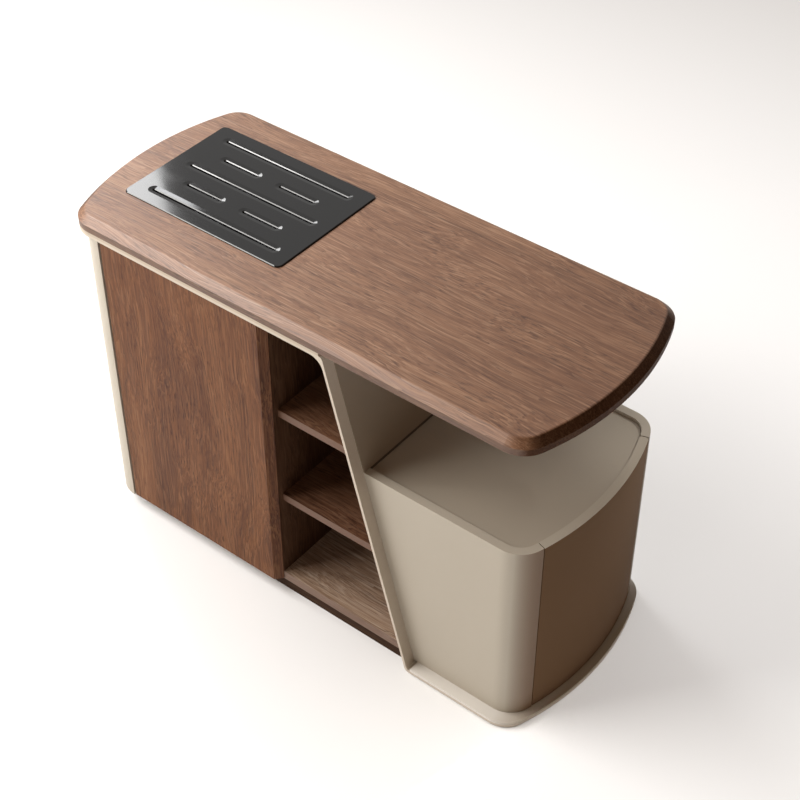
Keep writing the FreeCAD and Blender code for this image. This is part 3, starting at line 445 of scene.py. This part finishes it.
def painted_strip_shade(t, paint):
    """Painted shade on the faces towards +X that lie behind the box's front wall and above its
    panel.
    """
    low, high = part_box("box_front_shell")
    spot = t.split(t.place())
    behind = t.math("GREATER_THAN", spot["Y"], low[1] + WALL_THICKNESS)
    above = t.math("GREATER_THAN", spot["Z"], high[2] - PANEL_RECESS)
    facing = t.math("GREATER_THAN", t.normal()["X"], STRIP_TURN)
    return t.mix(t.times(t.times(behind, above), facing), paint, STRIP_SHADE)


def painted_corner_shade(t, paint):
    """Painted shade: a fade to brown on the faces that turn towards +X."""
    return t.mix(t.spread(t.normal()["X"], CORNER_SHADE_TURN), paint, CORNER_SHADE, "MULTIPLY")


def painted_base_shade(t, paint):
    """Painted shade: a fade to brown near the base's right end."""
    along = t.spread(t.split(t.place())["X"], BASE_SHADES)
    return t.mix(along, paint, BASE_SHADE, "MULTIPLY")


def lacquer(name, colour, change=None):
    """Satin sprayed lacquer: a faint orange peel, a slight drift of tone and painted highlights on
    the arrises.
    """
    t = Tree(name)
    place = t.place()
    rise = t.normal()["Z"]
    arris = t.times(t.spread(rise, ARRIS_RISE, 0.0, ARRIS_SHARE), t.spread(rise, ARRIS_END))
    sprayed = t.tones(t.noise(place, *DRIFT), colour, SATIN_TONES)
    paint = t.mix(arris, sprayed, ARRIS_HIGHLIGHT)
    if change:
        paint = change(t, paint)
    t.set(Base_Color=paint, Normal=t.bump(t.noise(place, *PEEL), *PEEL_BUMP),
          Roughness=t.spread(t.noise(place, *DUST), NOISE_MIDDLE, *SATIN_ROUGHNESS),
          Specular_IOR_Level=SATIN_LEVEL)
    return t.material


def two_tone(name, colour, edge_colour, edge_height):
    """Matt lacquer of one colour with the top edge of another, which starts at a height."""
    t = Tree(name)
    place = t.place()
    edge = t.math("GREATER_THAN", t.split(place)["Z"], edge_height)
    drift = t.noise(place, *DRIFT)
    face = t.tones(drift, colour, MATT_TONES)
    t.set(Base_Color=t.mix(edge, face, opaque(edge_colour)),
          Roughness=t.spread(drift, NOISE_MIDDLE, *MATT_ROUGHNESS),
          Normal=t.bump(t.noise(place, *PEEL), *PEEL_BUMP), Specular_IOR_Level=MATT_LEVEL)
    return t.material


# Plate, metals and plastics

BLACK = (0.006, 0.006, 0.006, 1)
NEAR_BLACK = (0.014, 0.0135, 0.0135, 1)
PAN_STEEL = (0.16, 0.16, 0.17)
ZINC = (0.62, 0.63, 0.65)
BRASS = (0.75, 0.56, 0.28)
BRUSHED = (4, 300, 4)
EVEN = (300, 300, 300)

# Noises as above, and how a smear is stretched
SMEAR_PLACE = (3, 14, 3)
SMEAR = (1.0, 5.0, 0.6)
SMEAR_ROUGHNESS = (0.05, 0.10)
SPECK = (900.0, 2.0, 0.5)
METAL_GRAIN = (1.0, 4.0, 0.6)
METAL_TONES = (0.85, 1.0)
METAL_RANGE = (-0.06, 0.08)
METAL_BUMP = (0.08, 0.0002)
PLASTIC_GRAIN = (1400.0, 2.0, 0.5)
PLASTIC_TONES = (0.9, 1.0)
PLASTIC_BUMP = (0.1, 0.0001)


def black_gloss(name):
    """Polished black plate with faint smears in its gloss."""
    t = Tree(name)
    smear = t.noise(t.place(SMEAR_PLACE), *SMEAR)
    t.set(Base_Color=t.mix(t.noise(t.place(), *SPECK), BLACK, NEAR_BLACK),
          Roughness=t.spread(smear, NOISE_MIDDLE, *SMEAR_ROUGHNESS))
    return t.material


def metal(name, colour, roughness, grain_scale):
    """Metal with its grain in tone, gloss and relief."""
    t = Tree(name)
    grain = t.noise(t.place(grain_scale), *METAL_GRAIN)
    smooth, rough = (roughness + step for step in METAL_RANGE)
    t.set(Base_Color=t.tones(grain, colour, METAL_TONES), Metallic=1.0,
          Roughness=t.spread(grain, NOISE_MIDDLE, smooth, rough),
          Normal=t.bump(grain, *METAL_BUMP))
    return t.material


def plastic(name, colour, roughness):
    """Moulded plastic with a fine even grain."""
    t = Tree(name)
    grain = t.noise(t.place(), *PLASTIC_GRAIN)
    t.set(Base_Color=t.tones(grain, colour, PLASTIC_TONES), Roughness=roughness,
          Normal=t.bump(grain, *PLASTIC_BUMP))
    return t.material


def make_materials():
    end_edge_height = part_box("end_door")[1][2] - END_DOOR_ARRIS
    return {
        "top": walnut("walnut_top", GRAIN_X, (1.04, 1.0, 0.925),
                      gloss=0.45, level=0.6, seed=0.0, edge=painted_top_shade),
        "door": walnut("walnut_door", GRAIN_Z, (0.59, 0.435, 0.295),
                       gloss=0.52, level=0.18, seed=3.1, zones=1.0),
        # The shelves: walnut darkened, painted shade inside the bay
        "shelf": walnut("walnut_shelf_painted_shade", GRAIN_X, (0.62, 0.56, 0.52),
                        gloss=0.42, level=0.4, seed=7.3, edge=painted_lit_fronts),
        # The bay's bottom: walnut lightened and greyed, painted light
        "bottom": walnut("walnut_bottom_painted_light", GRAIN_X, (1.35, 1.75, 2.1),
                         gloss=0.38, level=0.5, seed=5.7, edge=painted_lit_fronts),
        # The plinth: walnut darkened, painted shade under the bottom board
        "plinth": walnut("walnut_plinth_painted_shade", GRAIN_X, (0.2, 0.18, 0.15),
                         gloss=0.6, level=0.1, seed=9.1),
        # The carcass inside: walnut darkened, painted shade
        "inside": walnut("walnut_inside_painted_shade", GRAIN_Z, (0.34, 0.3, 0.26),
                         gloss=0.55, level=0.2, seed=11.9),
        "beige": lacquer("beige_lacquer", BEIGE),
        "box": lacquer("box_lacquer_corner_shade", BEIGE, painted_corner_shade),
        "band": lacquer("band_lacquer_strip_shade", BAND_BEIGE, painted_strip_shade),
        "base": lacquer("base_lacquer_painted_light_and_shade", LIT_BEIGE, painted_base_shade),
        "deck": lacquer("deck_lacquer", DECK_BEIGE),
        "panel": lacquer("panel_lacquer", PANEL_BEIGE),
        "lining_shade": lacquer("taupe_lacquer", LINING_SHADE),
        "end": two_tone("end_shade_lacquer", END_SHADE, BEIGE, end_edge_height),
        "tray": black_gloss("black_plate"),
        "steel": metal("pan_steel", PAN_STEEL, 0.45, BRUSHED),
        "zinc": metal("zinc_plate", ZINC, 0.35, EVEN),
        "brass": metal("bush_brass", BRASS, 0.3, EVEN),
        "silicone": plastic("pad_silicone", (0.03, 0.03, 0.03), 0.7),
        "latch": plastic("latch_plastic", (0.33, 0.32, 0.31), 0.5),
        "glide": plastic("glide_plastic", (0.04, 0.04, 0.04), 0.6),
    }


# Finishes and edges of the CAD nodes

NODE_FINISH = {
    "top": ["top_board"],
    "door": ["cupboard_door"],
    "shelf": ["bay_shelf_lower", "bay_shelf_upper", "cupboard_shelf"],
    "bottom": ["carcass_bottom"],
    "plinth": ["plinth_front", "plinth_back", "plinth_cross_rail", "plinth_end"],
    "inside": ["cupboard_partition", "slant_wall", "carcass_back", "box_top_cleats",
               "box_base_cleats", "partition_dowels"],
    "beige": ["left_end_shell"],
    "box": ["box_front_shell", "box_back_shell"],
    "band": ["z_band"],
    "base": ["base_board"],
    "deck": ["deck_board"],
    "panel": ["box_top_panel"],
    "lining_shade": ["leg_lining"],
    "end": ["end_door"],
    "tray": ["tray_plate"],
    "steel": ["drip_pan"],
    "zinc": ["top_fixing_screws", "back_panel_screws", "cupboard_shelf_pins", "bay_shelf_pins",
             "upper_pivot_bracket", "lower_pivot_bracket", "end_pivot_arms", "end_pivot_pins",
             "cupboard_strike_plate", "cupboard_latch_spring", "end_latch_spring"],
    "brass": ["door_pivot_bushes"],
    "silicone": ["tray_pads"],
    "latch": ["cupboard_latch_housing", "end_latch_housing", "cupboard_latch_plunger",
              "end_latch_plunger", "end_strike_block"],
    "glide": ["base_glides"],
}

# Widths of the eased edges, in mm, and the smallest angle of an edge that is eased
EASED = {
    "z_band": 1.2, "deck_board": 1.4, "base_board": 1.2, "left_end_shell": 1.5,
    "box_front_shell": 2.0, "box_back_shell": 2.0, "end_door": 1.6, "cupboard_door": 1.2,
    "bay_shelf_lower": 2.2, "bay_shelf_upper": 2.2, "carcass_bottom": 2.2,
    "cupboard_partition": 0.8, "slant_wall": 0.8,
}
EASED_FROM = math.radians(40)
EASED_SEGMENTS = 3

# Smallest angle, in degrees, that still shades as a crisp edge
CREASE = {"tray_plate": 4}
USUAL_CREASE = 25


def smoothing_group(crease):
    """Geometry nodes that shade smooth, apart from edges sharper than an angle."""
    group = bpy.data.node_groups.new(f"smooth_by_{crease}", "GeometryNodeTree")
    for side in ("INPUT", "OUTPUT"):
        group.interface.new_socket("Geometry", in_out=side, socket_type="NodeSocketGeometry")
    start = group.nodes.new("NodeGroupInput")
    end = group.nodes.new("NodeGroupOutput")
    faces = group.nodes.new("GeometryNodeSetShadeSmooth")
    edges = group.nodes.new("GeometryNodeSetShadeSmooth")
    edges.domain = "EDGE"
    edges.inputs["Shade Smooth"].default_value = False
    angle = group.nodes.new("GeometryNodeInputMeshEdgeAngle")
    sharp = group.nodes.new("FunctionNodeCompare")
    sharp.operation = "GREATER_THAN"
    sharp.inputs[1].default_value = math.radians(crease)
    group.links.new(angle.outputs["Unsigned Angle"], sharp.inputs[0])
    group.links.new(start.outputs[0], faces.inputs["Geometry"])
    group.links.new(faces.outputs[0], edges.inputs["Geometry"])
    group.links.new(sharp.outputs[0], edges.inputs["Selection"])
    group.links.new(edges.outputs[0], end.inputs[0])
    return group


def dress_nodes(materials):
    """Give every CAD node its finish, its eased edges and smooth shading."""
    smooth = {crease: smoothing_group(crease) for crease in (USUAL_CREASE, *CREASE.values())}
    for finish, names in NODE_FINISH.items():
        for name in names:
            node = NODES[name]
            node.data.materials.clear()
            node.data.materials.append(materials[finish])
            if name in EASED:
                ease = node.modifiers.new("ease", "BEVEL")
                ease.width = EASED[name] * MM
                ease.segments = EASED_SEGMENTS
                ease.limit_method = "ANGLE"
                ease.angle_limit = EASED_FROM
                ease.use_clamp_overlap = False
            shading = node.modifiers.new("smooth", "NODES")
            shading.node_group = smooth[CREASE.get(name, USUAL_CREASE)]


make_camera()
stage_floor = make_floor()
make_world()
SCENE.view_settings.view_transform = "Standard"
make_lamps(stage_floor)
dress_nodes(make_materials())
